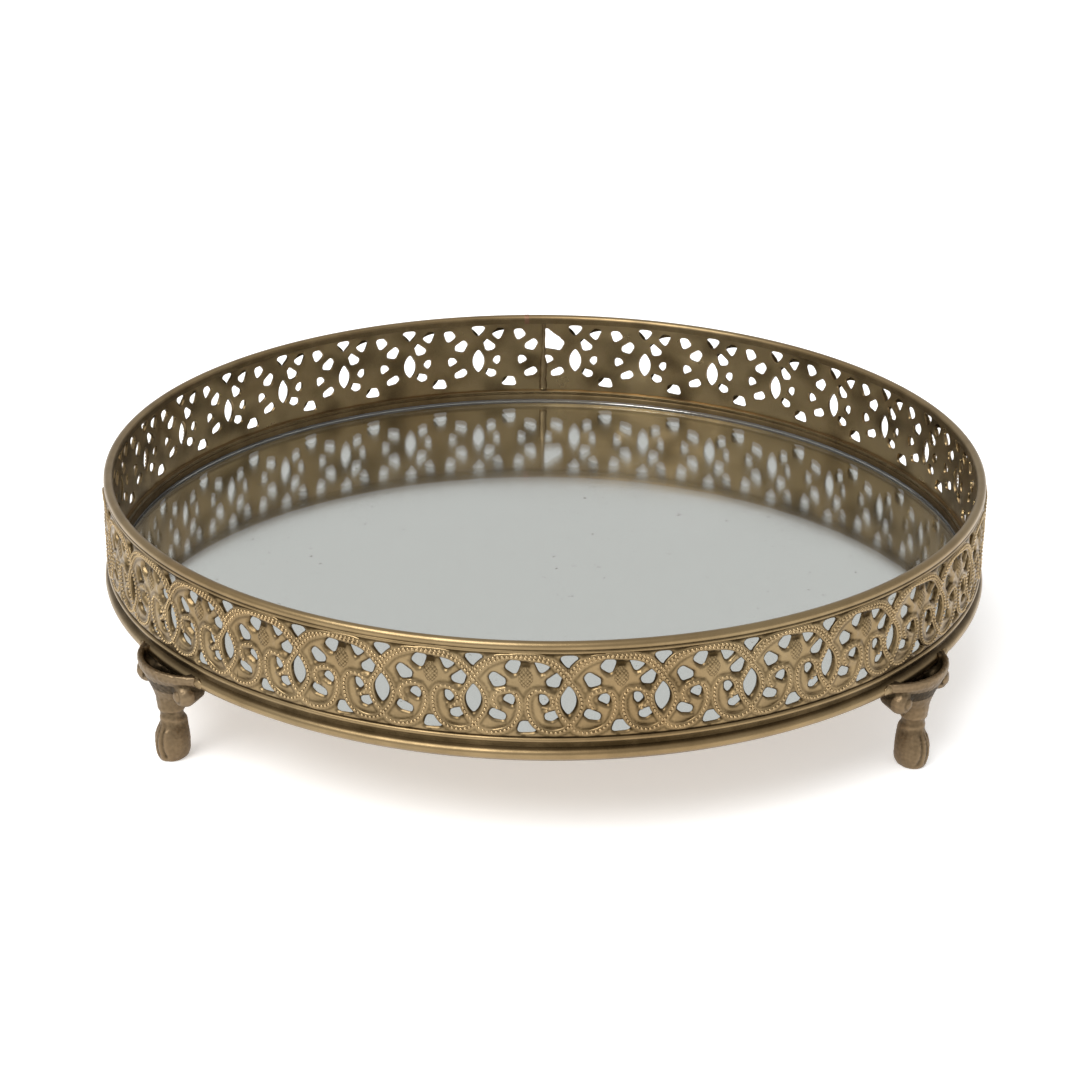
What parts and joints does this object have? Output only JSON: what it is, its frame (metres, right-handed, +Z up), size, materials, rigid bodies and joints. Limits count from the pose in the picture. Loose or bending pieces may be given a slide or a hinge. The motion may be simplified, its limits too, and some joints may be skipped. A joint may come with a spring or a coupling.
{
  "type": "vanity tray",
  "caption": "Round mirror-floored vanity tray with a pierced openwork metal gallery and cast paw feet, for perfume bottles and jewellery.",
  "frame": {"origin": "centre of the tray, on the surface that the feet stand on", "axes": "+Z up, the front of the tray is -Y, and the gallery's seam is at the back, +Y"},
  "size_m": [0.2622, 0.2622, 0.06],
  "materials": {
    "antique_brass": "antique, dark patina in the recesses",
    "cast_brass": "rough antique casting",
    "floor_brass": "plain satin sheet",
    "solder": "dull copper-coloured solder",
    "mirror_glass": "clear polished glass",
    "silvering": "silvered, painted behind",
    "card": "plain grey card"
  },
  "bodies": {
    "root": {"top_rim": "antique_brass", "rim_seam_solder": "solder", "gallery_strip": "antique_brass", "gallery_seam_solder": "solder", "base_ring": "antique_brass", "mirror_glass": "mirror_glass", "mirror_silvering": "silvering", "cushion_card": "card", "floor_plate": "floor_brass", "foot_front_left": "cast_brass", "foot_front_right": "cast_brass", "foot_rear_left": "cast_brass", "foot_rear_right": "cast_brass", "solder_front_left_a": "solder", "solder_front_left_b": "solder", "solder_front_right_a": "solder", "solder_front_right_b": "solder", "solder_rear_left_a": "solder", "solder_rear_left_b": "solder", "solder_rear_right_a": "solder", "solder_rear_right_b": "solder"}
  },
  "joints": []
}
